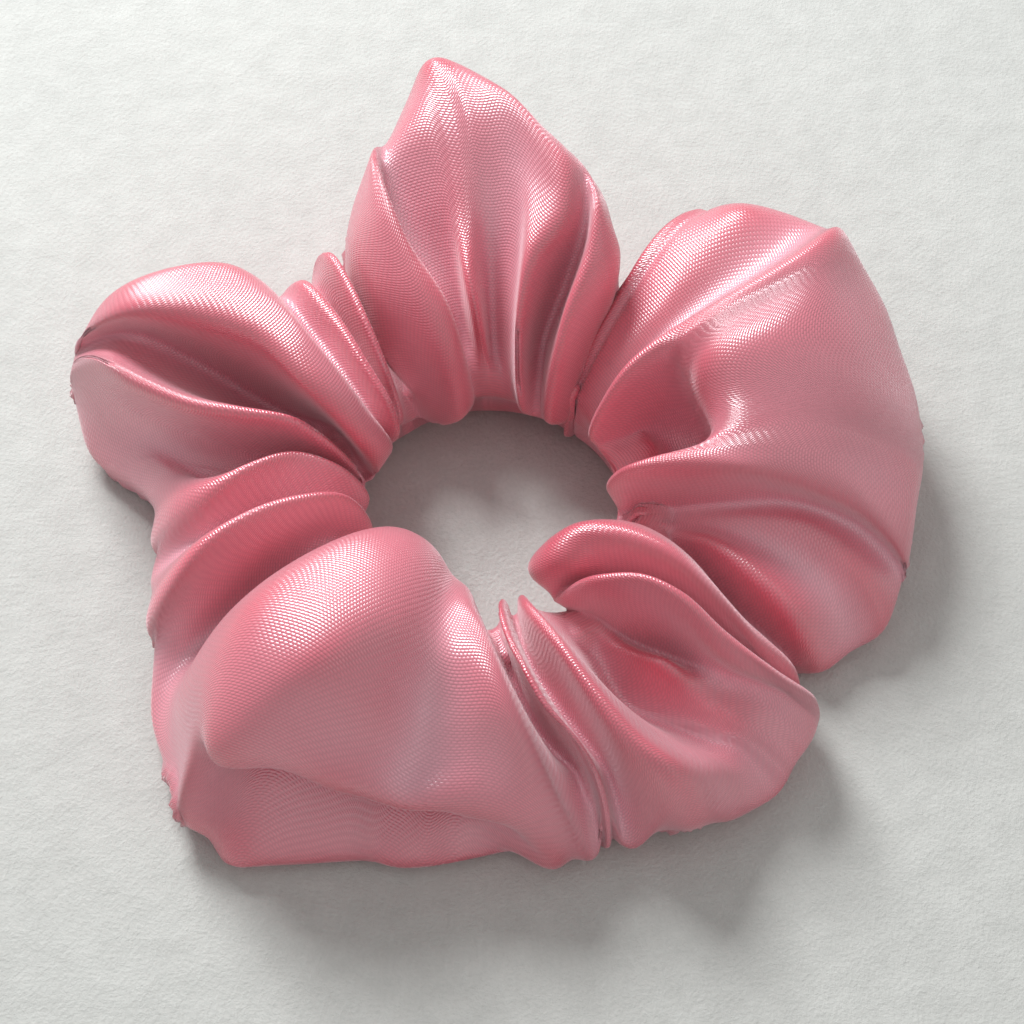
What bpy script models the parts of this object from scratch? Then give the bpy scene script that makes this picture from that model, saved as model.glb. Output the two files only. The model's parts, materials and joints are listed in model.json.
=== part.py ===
"""A satin scrunchie: a tube of cloth gathered on a loop of flat elastic.

Metres, +Z up. The scrunchie lies flat on Z = 0 with the middle of its footprint at the origin.
Stretching pulls its right half away from its left half along +X, so the cloth is two shells that
meet at the plane through the middle of the elastic ring. Every place round the ring is a bearing in
degrees, counted from +X towards +Y, and every cross-section of the cloth is an egg in the plane of
that bearing.
"""

import math

import bmesh
import bpy
from mathutils import Vector

# Elastic loop, relaxed
ELASTIC_RADIUS = 0.021  # to the middle of its thickness
ELASTIC_WIDTH = 0.006  # upright
ELASTIC_THICKNESS = 0.001
ELASTIC_HEIGHT = 0.0075  # of its middle, above the table
ELASTIC_CLEARANCE = 0.00015  # to the cloth round it
ELASTIC_STEPS = 72
LAP_BEARING = 180.0  # the middle of its lapped join
LAP_LENGTH = 0.012
LAP_RUN_IN = 0.012  # over which the outer end steps out onto the inner one

# Cloth
INNER_GATHER = 0.0045  # from the elastic in to the hole's edge, more where it must clear it
CLOTH_WALL = 0.001  # shell thickness
GAP_REACH = 0.042  # from the ring's middle to the outer edge, between two puffs
GAP_HEIGHT = 0.025
REST_DEPTH = 0.009  # how much of the egg is pressed flat on the table
PLEATS = 16
PLEAT_DEPTH = 0.0012
CLOTH_STEPS = 96  # round the ring
SECTION_STEPS = 16  # round a cross-section

# The big puffs of gathered cloth: bearing of the middle, spread to each side, reach and height.
PUFFS = (
    ("right", 20.0, 46.0, 0.060, 0.032),
    ("back", 92.0, 27.0, 0.058, 0.038),
    ("left", 155.0, 29.0, 0.061, 0.031),
    ("front_left", 226.0, 44.0, 0.062, 0.031),
    ("front_right", 304.0, 46.0, 0.057, 0.030),
)

# Sewing thread
THREAD_RADIUS = 0.00025
THREAD_CLEARANCE = 0.0003  # to the cloth and the elastic
LAP_STITCH_TURNS = 5
CLOSING_SEAM_BEARING = 58.0  # where the tube's two ends are sewn together
CLOSING_SEAM_SWEEP = (20.0, 200.0)  # how far the seam shows round the section, from outside in
TUBE_SEAM_ANGLE = -12.0  # place of the long seam round the section, on the outer edge

SPLIT_GAP = 0.0003  # between the two halves of the cloth

PINK = (0.60, 0.16, 0.23, 1.0)
DEEP_PINK = (0.52, 0.12, 0.19, 1.0)
ELASTIC_WHITE = (0.80, 0.79, 0.76, 1.0)


def clear_scene():
    for obj in list(bpy.data.objects):
        bpy.data.objects.remove(obj, do_unlink=True)


def material(name, color, roughness):
    made = bpy.data.materials.new(name)
    made.use_nodes = True
    shader = made.node_tree.nodes["Principled BSDF"]
    shader.inputs["Base Color"].default_value = color
    shader.inputs["Roughness"].default_value = roughness
    shader.inputs["Metallic"].default_value = 0.0
    made.diffuse_color = color
    return made


def puffed(bearing, level_between, level_of):
    """A size at a bearing: level_between in the gaps, rising smoothly to each puff's own level."""
    size = level_between
    for puff in PUFFS:
        away = (bearing - puff[1] + 180.0) % 360.0 - 180.0
        share = max(0.0, 1.0 - (away / puff[2]) ** 2) ** 0.8
        size = max(size, level_between + (level_of(puff) - level_between) * share)
    return size


def reach(bearing):
    return puffed(bearing, GAP_REACH, lambda puff: puff[3])


def height(bearing):
    return puffed(bearing, GAP_HEIGHT, lambda puff: puff[4])


def section_level(bearing, turn, inset):
    """Height of a point of the cloth: turn degrees round its cross-section, 0 outermost and 90 on
    top, and inset metres in from its outer face. The bottom is flat where it rests on the table."""
    half_height = (height(bearing) + REST_DEPTH) / 2 - inset
    pleat = PLEAT_DEPTH * math.cos(math.radians(bearing * PLEATS))
    upper = max(0.0, math.sin(math.radians(turn)))
    level = (height(bearing) - REST_DEPTH) / 2 + half_height * math.sin(math.radians(turn))
    return max(inset, level + pleat * upper)


def inner_share(bearing, level):
    """How far out the cloth's inner face is at this level, on the hole's side of its
    straight-sided section: 0 at the hole's edge, 1 in the middle of the section."""
    corners = []
    for k in range(SECTION_STEPS // 4, 3 * SECTION_STEPS // 4 + 1):
        turn = 360.0 * k / SECTION_STEPS
        corners.append((section_level(bearing, turn, CLOTH_WALL), 1 + math.cos(math.radians(turn))))
    for (above, above_share), (below, below_share) in zip(corners, corners[1:]):
        if below <= level <= above and below < above:
            return above_share + (below_share - above_share) * (above - level) / (above - below)
    return 1.0


def clear_hole_radius(bearing):
    """Largest radius of the hole at which the cloth's section at this bearing still clears the
    elastic's two inner corners."""
    elastic_face = ELASTIC_RADIUS - ELASTIC_THICKNESS / 2 - ELASTIC_CLEARANCE
    half_reach = reach(bearing) / 2 - CLOTH_WALL
    radii = []
    for up in (-1, 1):
        corner = ELASTIC_HEIGHT + up * (ELASTIC_WIDTH / 2 + ELASTIC_CLEARANCE)
        share = inner_share(bearing, corner)
        radii.append((elastic_face - CLOTH_WALL - half_reach * share) / (1 - share / 2))
    return min(radii)


HOLE_RADIUS = min([ELASTIC_RADIUS - INNER_GATHER]
                  + [clear_hole_radius(360.0 * k / CLOTH_STEPS) for k in range(CLOTH_STEPS)])


def section_point(bearing, turn, inset):
    """Radius and height of a point of the cloth, given as for section_level."""
    half_width = (reach(bearing) - HOLE_RADIUS) / 2 - inset
    radius = HOLE_RADIUS + inset + half_width * (1 + math.cos(math.radians(turn)))
    return radius, section_level(bearing, turn, inset)


def footprint_middle():
    """Middle of the footprint's box, seen from the ring's middle."""
    bearings = [360.0 * k / CLOTH_STEPS for k in range(CLOTH_STEPS)]
    across = [reach(bearing) * math.cos(math.radians(bearing)) for bearing in bearings]
    along = [reach(bearing) * math.sin(math.radians(bearing)) for bearing in bearings]
    return Vector((min(across) + max(across), min(along) + max(along), 0.0)) / 2


RING_MIDDLE = -footprint_middle()


def at(radius, bearing, level):
    """World place of a point given round the ring."""
    angle = math.radians(bearing)
    return RING_MIDDLE + Vector((radius * math.cos(angle), radius * math.sin(angle), level))


def mesh_object(name, verts, faces, surface):
    mesh = bpy.data.meshes.new(name)
    mesh.from_pydata([tuple(v) for v in verts], [], faces)
    made = bmesh.new()
    made.from_mesh(mesh)
    bmesh.ops.recalc_face_normals(made, faces=made.faces)
    made.to_mesh(mesh)
    made.free()
    mesh.shade_smooth()
    mesh.set_sharp_from_angle(angle=math.radians(50))
    mesh.materials.append(surface)
    obj = bpy.data.objects.new(name, mesh)
    bpy.context.collection.objects.link(obj)
    return obj


def cloth_half(name, first_bearing, side, surface, holder):
    """One C-shaped shell of cloth, from first_bearing through half a turn, open at both ends. Its
    end faces lie half a gap to its own side of the plane through the ring's middle."""
    rings = CLOTH_STEPS // 2 + 1
    verts = []
    for k in range(rings):
        bearing = first_bearing + 360.0 * k / CLOTH_STEPS
        for inset in (0.0, CLOTH_WALL):
            for turn in range(SECTION_STEPS):
                radius, level = section_point(bearing, 360.0 * turn / SECTION_STEPS, inset)
                point = at(radius, bearing, level)
                if k in (0, rings - 1):
                    point.x = RING_MIDDLE.x + side * SPLIT_GAP / 2
                verts.append(point)
    per_ring = 2 * SECTION_STEPS
    faces = []
    for k in range(rings - 1):
        for layer in (0, SECTION_STEPS):
            for turn in range(SECTION_STEPS):
                here = k * per_ring + layer + turn
                beside = k * per_ring + layer + (turn + 1) % SECTION_STEPS
                faces.append((here, beside, beside + per_ring, here + per_ring))
    for k in (0, rings - 1):
        for turn in range(SECTION_STEPS):
            outer = k * per_ring + turn
            beside = k * per_ring + (turn + 1) % SECTION_STEPS
            faces.append((outer, beside, beside + SECTION_STEPS, outer + SECTION_STEPS))
    obj = mesh_object(name, verts, faces, surface)
    obj.parent = holder
    return obj


def lap_span():
    """Half of the lap, in degrees."""
    return math.degrees(LAP_LENGTH / ELASTIC_RADIUS) / 2


def elastic_radius_at(travelled):
    """Radius of the strip's middle after travelled degrees from its inner end. The outer end
    steps out over the inner one, with the thread's clearance between them."""
    step = ELASTIC_THICKNESS + THREAD_CLEARANCE
    run_in = math.degrees(LAP_RUN_IN / ELASTIC_RADIUS)
    share = min(1.0, max(0.0, (travelled - 360.0 + run_in) / run_in))
    return ELASTIC_RADIUS + step * share * share * (3 - 2 * share)


def elastic_band(surface, holder):
    whole = 360.0 + 2 * lap_span()
    verts = []
    for k in range(ELASTIC_STEPS + 1):
        travelled = whole * k / ELASTIC_STEPS
        bearing = LAP_BEARING - lap_span() + travelled
        radius = elastic_radius_at(travelled)
        for out, up in ((-1, -1), (1, -1), (1, 1), (-1, 1)):
            verts.append(at(radius + out * ELASTIC_THICKNESS / 2, bearing,
                            ELASTIC_HEIGHT + up * ELASTIC_WIDTH / 2))
    faces = [(0, 1, 2, 3), tuple(ELASTIC_STEPS * 4 + corner for corner in (3, 2, 1, 0))]
    for k in range(ELASTIC_STEPS):
        for corner in range(4):
            here = 4 * k + corner
            beside = 4 * k + (corner + 1) % 4
            faces.append((here, beside, beside + 4, here + 4))
    obj = mesh_object("elastic_band", verts, faces, surface)
    obj.parent = holder
    return obj


def thread(name, points, surface, holder, closed=False):
    """A length of sewing thread along the given points."""
    curve = bpy.data.curves.new(name, "CURVE")
    curve.dimensions = "3D"
    curve.bevel_depth = THREAD_RADIUS
    curve.bevel_resolution = 1
    curve.use_fill_caps = not closed
    spline = curve.splines.new("POLY")
    spline.points.add(len(points) - 1)
    for place, point in zip(spline.points, points):
        place.co = (*point, 1.0)
    spline.use_cyclic_u = closed
    curve.materials.append(surface)
    obj = bpy.data.objects.new(name, curve)
    bpy.context.collection.objects.link(obj)
    obj.parent = holder
    return obj


def elastic_join_thread(surface, holder):
    """Whipped stitches round both layers of the lap: a helix with a rounded rectangular turn."""
    layers = 2 * ELASTIC_THICKNESS + THREAD_CLEARANCE
    middle_radius = ELASTIC_RADIUS + (ELASTIC_THICKNESS + THREAD_CLEARANCE) / 2
    half_out = layers / 2 + THREAD_CLEARANCE + THREAD_RADIUS
    half_up = ELASTIC_WIDTH / 2 + THREAD_CLEARANCE + THREAD_RADIUS
    corners = ((1, 0), (1, 0.85), (0.55, 1), (-0.55, 1), (-1, 0.85),
               (-1, -0.85), (-0.55, -1), (0.55, -1), (1, -0.85))
    stitched = lap_span() * 1.4
    points = []
    count = LAP_STITCH_TURNS * len(corners)
    for k in range(count + 1):
        out, up = corners[k % len(corners)]
        bearing = LAP_BEARING - stitched / 2 + stitched * k / count
        points.append(at(middle_radius + out * half_out, bearing, ELASTIC_HEIGHT + up * half_up))
    return thread("elastic_join_thread", points, surface, holder)


def tube_seam_thread(surface, holder):
    """The long seam: a closed ring of thread inside the tube, along its outer edge."""
    inset = CLOTH_WALL + THREAD_CLEARANCE + 2 * THREAD_RADIUS
    points = []
    for k in range(CLOTH_STEPS):
        bearing = 360.0 * k / CLOTH_STEPS
        radius, level = section_point(bearing, TUBE_SEAM_ANGLE, inset)
        points.append(at(radius, bearing, level))
    return thread("tube_seam_thread", points, surface, holder, closed=True)


def closing_seam_thread(surface, holder):
    """The seam across the tube, in the ditch between two puffs: from the outer edge over the top
    to the hole, just proud of the cloth."""
    first, last = CLOSING_SEAM_SWEEP
    count = 20
    points = []
    for k in range(count + 1):
        turn = first + (last - first) * k / count
        radius, level = section_point(CLOSING_SEAM_BEARING, turn,
                                      -THREAD_CLEARANCE - 3 * THREAD_RADIUS)
        points.append(at(radius, CLOSING_SEAM_BEARING, level))
    return thread("closing_seam_thread", points, surface, holder)


def empty(name, place):
    obj = bpy.data.objects.new(name, None)
    obj.empty_display_size = 0.01
    obj.location = place
    bpy.context.collection.objects.link(obj)
    return obj


def main():
    clear_scene()
    left_half = empty("left_half", (0, 0, 0))
    right_half = empty("right_half", (0, 0, 0))
    right_half.parent = left_half

    satin = material("satin", PINK, 0.38)
    sewing_thread = material("sewing_thread", DEEP_PINK, 0.55)
    elastic = material("elastic", ELASTIC_WHITE, 0.85)

    cloth_half("cover_left", 90.0, -1, satin, left_half)
    cloth_half("cover_right", -90.0, 1, satin, right_half)
    elastic_band(elastic, left_half)
    elastic_join_thread(sewing_thread, left_half)
    tube_seam_thread(sewing_thread, left_half)
    closing_seam_thread(sewing_thread, right_half)


main()
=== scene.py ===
"""Looks of a satin scrunchie lying on pale felt.

The cover is one continuous tube of satin. Its folds are first laid out as fold lines, each
running from the hole's edge over the puff to the rim, at a bearing, a radius and a height from the
middle of the elastic ring. A short cloth simulation then settles the tube, with each point's movement
capped and smoothed. Two refinements, the seams' ditches and the stitches come after it.
"""

import json
import math

import bpy
import numpy as np
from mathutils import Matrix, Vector


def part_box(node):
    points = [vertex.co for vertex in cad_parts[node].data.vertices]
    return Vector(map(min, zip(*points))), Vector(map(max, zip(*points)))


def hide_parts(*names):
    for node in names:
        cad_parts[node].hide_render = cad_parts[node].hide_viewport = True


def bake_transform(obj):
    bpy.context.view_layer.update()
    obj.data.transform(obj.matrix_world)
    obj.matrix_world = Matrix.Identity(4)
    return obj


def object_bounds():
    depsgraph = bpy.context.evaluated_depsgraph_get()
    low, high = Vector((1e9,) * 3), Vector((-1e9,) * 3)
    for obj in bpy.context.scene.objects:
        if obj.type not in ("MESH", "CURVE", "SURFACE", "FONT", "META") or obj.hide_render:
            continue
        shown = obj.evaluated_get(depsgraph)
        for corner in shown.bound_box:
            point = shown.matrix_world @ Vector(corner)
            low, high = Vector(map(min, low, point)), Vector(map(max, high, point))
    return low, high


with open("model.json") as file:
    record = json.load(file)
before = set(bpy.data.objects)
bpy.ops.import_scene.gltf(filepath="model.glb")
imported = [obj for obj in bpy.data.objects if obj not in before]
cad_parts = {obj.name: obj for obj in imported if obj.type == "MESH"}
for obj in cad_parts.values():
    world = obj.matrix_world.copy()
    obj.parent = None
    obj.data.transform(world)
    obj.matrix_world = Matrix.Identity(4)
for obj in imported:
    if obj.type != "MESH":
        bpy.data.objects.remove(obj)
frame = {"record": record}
CAD_BOX = [list(corner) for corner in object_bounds()]

# ---- sizes, in metres unless named otherwise
OPENING = frame["record"]["physics"]["openings"][0]["box_m"]
RING_X = (OPENING[0][0] + OPENING[1][0]) / 2
RING_Y = (OPENING[0][1] + OPENING[1][1]) / 2
COLUMNS = 400  # of cloth, along the tube
ROWS = 60  # of cloth, round the tube
GATHER_RADIUS = 0.0192  # of the line where the cloth is gathered on the elastic
GATHER_HEIGHT = 0.0075
ELASTIC_MARGIN = 0.0008  # from the cloth to the elastic's edges
CLOTH_THICKNESS = 0.0003
FOLD_ROUNDING = 1.15  # mm, how far the fold lines are rounded off along the tube
PUFF_OUT = 0.0003  # how far the laid-out cloth is puffed out before it is settled
SIMULATION_SCALE = 10.0  # the cloth is simulated this many times larger
SIMULATION_FRAMES = 8
MOST_RELAXED = 0.004  # how far the simulation may move a point
UV_PER_METRE = 10.0
STITCH_RADIUS = 0.00016
LAP_LENGTH = 0.012  # of the elastic's lapped join
LAP_STEP = 0.0013  # by which its outer end steps out over its inner one
WHIPPING_TURNS = 5

# ---- fold lines: (bearing in degrees, radius in mm, height in mm), hole's edge to rim
FOLDS = (
    ("gap front right/right",
     (343, 17, 8), (346, 21, 8), (343, 26, 8), (339, 32, 7), (336, 38, 5), (333, 45, 3)),
    ("under swell",
     (350, 17, 9), (350, 23, 11), (346, 29, 14), (341, 35, 14), (337, 42, 12), (335, 46, 8),
     (334, 49, 3)),
    ("swell valley",
     (353, 17, 9), (352, 24, 10), (350, 32, 12), (347, 40, 12), (343, 48, 9), (340, 52, 3)),
    ("swell ridge",
     (355, 17, 9), (355, 24, 11), (354, 33, 14), (352, 42, 15), (347, 50, 12), (343, 55, 5)),
    ("recess under the lip",
     (357, 17, 8), (357, 23, 9), (357, 31, 12), (357, 40, 14), (354, 49, 12), (350, 56, 6)),
    ("lip of the sail",
     (0, 16, 12), (357, 20, 17), (355, 26, 21), (355, 33, 22.5), (355, 41, 20.5), (354, 49, 17),
     (351, 56, 10)),
    ("lower rim of the ear",
     (4, 14.5, 13), (2, 16.5, 19), (0.5, 20.5, 22.5), (0, 25, 24), (359.5, 31, 24.5), (359.5, 37, 24.5),
     (0, 46, 21.5), (0, 57, 12)),
    ("ear pocket low",
     (7, 17, 10.5), (7.5, 19.5, 11.4), (8, 22, 11.4), (8.5, 26, 9), (8.5, 29, 10.5), (9, 29.8, 17),
     (9, 30, 24), (9, 33, 27.2), (9, 40, 27.5), (8, 50, 23), (7, 59, 12)),
    ("ear pocket",
     (16.5, 17.2, 10.5), (17.5, 19.8, 11.4), (18.5, 23.5, 10.5), (19.5, 28, 7.5), (20.3, 30.8, 10),
     (20.5, 30.6, 16), (20.5, 28.7, 22.5), (20.3, 28.8, 27), (20, 31.5, 30.2), (19, 40, 31),
     (17, 50, 26.5), (16, 60, 14)),
    ("ear pocket high",
     (25.5, 16.8, 12), (26.5, 19.5, 12), (27.2, 23, 11), (27.8, 26.5, 11), (28, 28.5, 16),
     (27.8, 28.2, 22.5), (27.2, 28.4, 27), (27, 31.5, 30.2), (27, 40, 31.3), (27, 50, 30), (26, 60, 19)),
    ("sail crest",
     (31, 14.5, 14), (33.5, 17.5, 20.5), (35, 21, 24.5), (34.5, 25, 27), (33, 30, 29), (32, 37, 31.2),
     (32, 47, 32), (34, 56, 29.5), (35, 59, 24)),
    ("crease beside the crest",
     (36, 17.5, 10), (39, 21, 14), (40.5, 27, 18.5), (39, 36, 23.5), (37, 47, 27), (38, 56, 26),
     (39, 59, 19)),
    ("upper facet",
     (45, 19, 11), (45, 24, 17.5), (45, 31, 22.5), (46, 40, 26.5), (47, 50, 27.5), (47, 56, 20)),
    ("seam right side",
     (54, 20, 11), (54, 26, 17), (54, 34, 21.5), (53, 43, 25), (52, 51, 23), (52, 56, 14)),
    ("seam ditch",
     (57, 21, 10), (57, 26, 15.5), (57, 34, 20), (56, 43, 23), (55, 50, 20), (55, 54, 12)),
    ("seam left side",
     (60, 22, 9), (60, 27, 14), (59, 35, 19), (58, 42, 20), (58, 47, 17), (58, 52, 9)),
    ("gap right/leaf",
     (59, 18.6, 6), (61, 20.5, 11.3), (62, 25, 10.5), (61, 33, 8), (62, 42, 5.5), (63, 45, 3)),
    ("leaf right edge",
     (53, 18.5, 7), (56, 22, 12), (58, 27, 19), (57.5, 32, 26), (60, 35.5, 26), (63, 38, 18)),
    ("leaf right loop",
     (58, 14.5, 10), (61, 17.5, 18.5), (63.5, 22.5, 24.5), (63.5, 30, 29.5), (65, 36, 32), (67, 41, 26)),
    ("leaf pocket",
     (66, 16.5, 8), (71, 20.5, 11.6), (74, 26.5, 13), (71, 32, 19), (69, 36.5, 28), (72, 42, 31.5),
     (75, 46, 24)),
    ("leaf right ridge",
     (71, 14.3, 10), (76, 16.5, 17), (78, 21.5, 23), (76.5, 27.5, 28), (72.5, 34, 31.3), (75, 41, 34),
     (80, 47, 30)),
    ("leaf middle right",
     (80, 17.5, 9), (83, 20.5, 14), (84, 26.5, 20), (84, 33, 25.5), (85, 41, 31), (87, 50, 35),
     (89, 55, 27)),
    ("pinch",
     (86.5, 18.3, 8), (88, 19.8, 11.4), (89, 24.5, 11.8), (90, 29.5, 17), (91, 38, 27), (92, 48, 34),
     (94, 57, 33), (94, 59, 26)),
    ("u fold",
     (89, 18.2, 9), (91, 19.6, 14), (93, 22.3, 22), (95, 26.5, 25.5), (95.5, 35, 27.5), (96, 48, 33),
     (98, 58, 34), (98, 60, 26)),
    ("left of the u fold",
     (94, 18.4, 8), (96, 20, 11.5), (97.2, 24.5, 13.5), (99, 32, 21), (101, 40, 27), (102, 50, 31),
     (102, 57, 26)),
    ("leaf left valley",
     (97.5, 18.2, 8), (99, 20.5, 12.5), (102, 27, 17.5), (107, 34, 21), (109.5, 41, 24.5),
     (108, 47, 27.5), (106, 53, 23)),
    ("leaf left crest",
     (97, 16, 9.5), (99.5, 18.5, 17.5), (103.5, 24, 24.5), (109, 32, 28), (110.8, 41, 30.5),
     (110, 47, 29.5), (108, 52, 22)),
    ("leaf left band",
     (105, 13.8, 10), (107, 16, 18), (110.5, 21.5, 24), (113, 29, 27.5), (114.2, 38, 29),
     (113.5, 45, 25), (112, 49.5, 17)),
    ("leaf left band outer",
     (114, 15, 8), (116, 18, 14), (118.5, 24, 19.5), (120, 31, 22.5), (119, 39, 22), (117, 45, 14)),
    ("leaf left edge",
     (119.5, 17.5, 6), (122.5, 20, 11.2), (123, 28, 11), (121.5, 36, 11), (119, 42, 7)),
    ("gap leaf/small folds",
     (123.5, 18.6, 7), (123.7, 20.5, 11.3), (123, 25, 11), (121, 33, 9), (119, 39, 6), (118, 42, 3)),
    ("first small fold right",
     (128.5, 18.2, 8), (126.5, 21, 12.5), (124.5, 27, 14.5), (122.5, 34, 16.5), (121.5, 39, 17.5),
     (121.5, 43, 10)),
    ("first small fold",
     (133, 16.5, 11), (129.5, 19.5, 17.5), (127, 26, 22), (125, 33, 23.5), (124, 40, 22.5),
     (123, 45, 13)),
    ("small valley",
     (138, 18.2, 9), (133.5, 20.5, 11.5), (130, 26, 11.5), (128.5, 33, 12), (127, 40, 14), (126, 44, 9)),
    ("second small fold",
     (147, 14, 13), (144, 15.5, 19), (139, 21.5, 22.5), (134, 30, 23.5), (132, 38, 22), (131, 43, 13)),
    ("beside the flap",
     (149, 16.5, 10), (147.5, 19, 14), (142, 24, 16), (138, 31, 17.5), (136, 39, 18.5), (135, 44, 12)),
    ("flap outer",
     (152, 14.5, 13), (151.5, 18, 21), (146.5, 26, 26), (142, 36, 27.5), (142, 45, 27), (143, 50, 18)),
    ("flap crest",
     (157, 14, 15), (157, 19, 23.5), (151, 27, 28), (147, 35, 29), (149, 43, 29), (152, 53, 27),
     (153, 59, 19)),
    ("flap lower edge",
     (168, 15, 11), (167, 18, 20.5), (160.5, 25.5, 26.5), (154.5, 34, 28), (155, 42.5, 28),
     (157.5, 52, 27.5), (158, 60, 18)),
    ("left pocket",
     (163, 18.2, 8), (157, 20.5, 11.3), (150.5, 26, 9.5), (148.5, 32, 6), (150.5, 39, 8),
     (153, 46, 12.5), (156.5, 54, 18.5), (159, 61, 15)),
    ("pocket floor",
     (168, 18.2, 8), (164.5, 20.5, 11.3), (159.5, 26, 9.5), (158, 33, 10), (159, 40, 15),
     (161, 47, 19.5), (161.5, 54, 21), (161, 61, 14)),
    ("bright ridge",
     (170.5, 15.5, 12.5), (168, 19, 19), (166, 25, 23), (168.5, 32, 24.5), (169.5, 39, 25),
     (167.5, 47, 25), (164, 54, 23.5), (162, 61, 14)),
    ("under the bright ridge",
     (171, 17, 10), (169, 22, 12), (168, 28, 13), (169, 35, 14), (168, 42, 15), (166, 51, 15),
     (163, 60, 8)),
    ("left outer face",
     (171, 19, 7), (171, 26, 10), (171, 34, 12), (169, 42, 12), (168, 50, 10), (168, 57, 4)),
    ("s line",
     (173.5, 18, 8), (174.5, 21, 11.5), (176, 29, 11.5), (176, 37, 11.5), (174.5, 42, 12.5),
     (174, 48, 6)),
    ("fan crest",
     (180, 14.5, 12), (175.5, 17.5, 18), (174.5, 24, 20.5), (180, 30, 21), (184, 36, 18.5),
     (184, 42, 13.5), (184, 46, 5)),
    ("fan valley",
     (190, 17.5, 8), (187, 20.5, 11.4), (187, 28, 11), (189.5, 35, 10.5), (190, 40, 10.5), (190, 46, 5)),
    ("lower left crest",
     (199, 14.5, 12), (194, 17.5, 19.5), (194.5, 24.5, 22.5), (196, 31, 23), (198, 37, 21.5),
     (200, 43, 17), (201, 48, 9)),
    ("lower left side",
     (205, 17.5, 8.5), (199, 22.5, 12), (200, 29, 13.5), (202.5, 36, 13), (204, 43, 11), (206, 49, 5)),
    ("beside the dome",
     (207, 18, 7), (204, 20.5, 11.2), (202.5, 27, 10), (205, 35, 8.5), (208.5, 46, 7), (212, 52, 3)),
    ("dome left low",
     (209, 17.5, 12), (210, 21.5, 18), (211, 30.5, 21), (213, 40, 19), (217, 48, 14.5), (222, 53, 9),
     (226, 57, 3)),
    ("dome left",
     (217, 15, 18), (219, 19.5, 25.5), (220, 29, 29), (221, 38, 28.5), (224, 47, 23), (227, 53, 15),
     (229, 58, 4)),
    ("dome crest",
     (228, 14, 20.5), (230, 19.5, 28), (231, 29, 31.8), (232, 38, 31), (232, 46.5, 26), (231, 52.5, 19),
     (231, 52.3, 16), (231, 45.5, 12.5), (233, 50.5, 10), (235, 56.5, 6), (236, 58.5, 2.5)),
    ("dome middle",
     (238, 14, 21), (239, 20, 28.5), (240, 30, 32.3), (240, 38, 31.2), (239, 43.5, 26.5),
     (238, 48.5, 20), (238, 48.3, 16.5), (239, 41.5, 12.5), (240, 46, 9.5), (241, 53, 5.5),
     (241, 55, 2.5)),
    ("dome right",
     (247, 14.5, 19.5), (248, 20.5, 27), (249, 30, 30), (249, 37.5, 26.5), (248, 43, 21.5),
     (247, 47.3, 17.5), (247, 47, 14.5), (247, 40.5, 10.5), (248, 44.5, 8), (249, 49.5, 5),
     (249, 51, 2.5)),
    ("dome dent",
     (254.5, 16, 17.5), (257, 22.5, 24), (259, 30, 25), (259, 36.5, 20), (258, 41.5, 16),
     (257, 46, 14.5), (257, 45.5, 11.5), (257, 39.5, 9), (257, 44, 7), (257, 49, 4.5), (257, 50, 2.5)),
    ("dome right band",
     (260, 16, 17), (264.5, 22, 24), (268.5, 29, 26.5), (270.5, 35.5, 25), (269.5, 41, 19.5),
     (267.5, 45.5, 14.5), (266, 45, 11), (265, 39.5, 8.5), (265, 43.5, 6.5), (265, 48, 2.5)),
    ("dome right edge",
     (266, 18.5, 14), (270, 24.5, 21.5), (274, 31.5, 25), (277, 38.5, 23.5), (278.5, 44, 18.5),
     (278.5, 48, 11), (279, 50, 4)),
    ("edge outer",
     (269, 18.6, 9), (272, 22.5, 12.5), (276.5, 30, 15), (281, 39, 16.5), (283, 46, 13), (284, 50, 6)),
    ("valley by the dome",
     (271, 18.2, 8), (273.5, 20.5, 11.3), (277.5, 27, 9), (283, 35, 6.5), (286, 40.5, 9.5),
     (286, 45, 9.5), (286, 50, 4)),
    ("narrow ridge",
     (276, 14.5, 14), (273.5, 18.5, 20), (276, 26.5, 23.5), (281, 33, 23.5), (286, 38.5, 20.5),
     (288, 42.5, 16), (288, 50, 5)),
    ("beside the narrow ridge",
     (281, 17.5, 10), (281, 23, 12.5), (284.5, 30, 12.5), (288.5, 37, 11.5), (291, 43, 10), (291, 50, 4)),
    ("sweeping ridge",
     (287, 15, 14), (284.5, 19.5, 20.5), (288, 27.5, 24), (291, 35, 24), (294, 42, 22), (298, 48, 18.5),
     (300, 52, 8)),
    ("sweeping right side",
     (293, 17.5, 10), (291.5, 22.5, 15.5), (294.5, 29, 18), (297.5, 36, 17.5), (301.5, 43, 15.5),
     (306, 49, 13), (306, 53, 5)),
    ("rose pocket",
     (299, 18, 8), (302, 20.5, 11.2), (304, 26, 8), (304.5, 32, 4.5), (307, 37, 5.5), (310, 43, 8),
     (312.5, 48, 9.5), (314, 54, 4)),
    ("rose mound",
     (301.5, 18.3, 9), (305, 21, 11.6), (309, 28, 12.5), (310.5, 34.5, 16.5), (312.5, 39.5, 12),
     (315, 46, 12), (318, 53, 6)),
    ("under the petal",
     (303, 18.5, 9), (308, 20.8, 11.5), (313, 27, 8.5), (316, 33, 9.5), (318, 40, 13), (321, 47, 14),
     (322, 53, 7)),
    ("inner petal overhang",
     (300, 19.5, 12), (303.5, 21.5, 17), (308, 25, 20.5), (313.5, 29.5, 22), (315.5, 34, 21.5),
     (317, 40, 19.5), (321, 47, 16.5), (325, 52, 9)),
    ("inner petal",
     (298, 18.5, 13.5), (301.5, 20, 19), (307.5, 22.5, 23.5), (315, 27, 26), (318.5, 32.5, 25.5),
     (319.5, 39, 22.5), (322, 46, 18), (326, 51, 10)),
    ("between petals",
     (298, 17.5, 10), (304, 18.5, 13), (314, 21, 14), (322, 25.5, 14.5), (324.5, 31, 14), (325, 38, 11),
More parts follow.
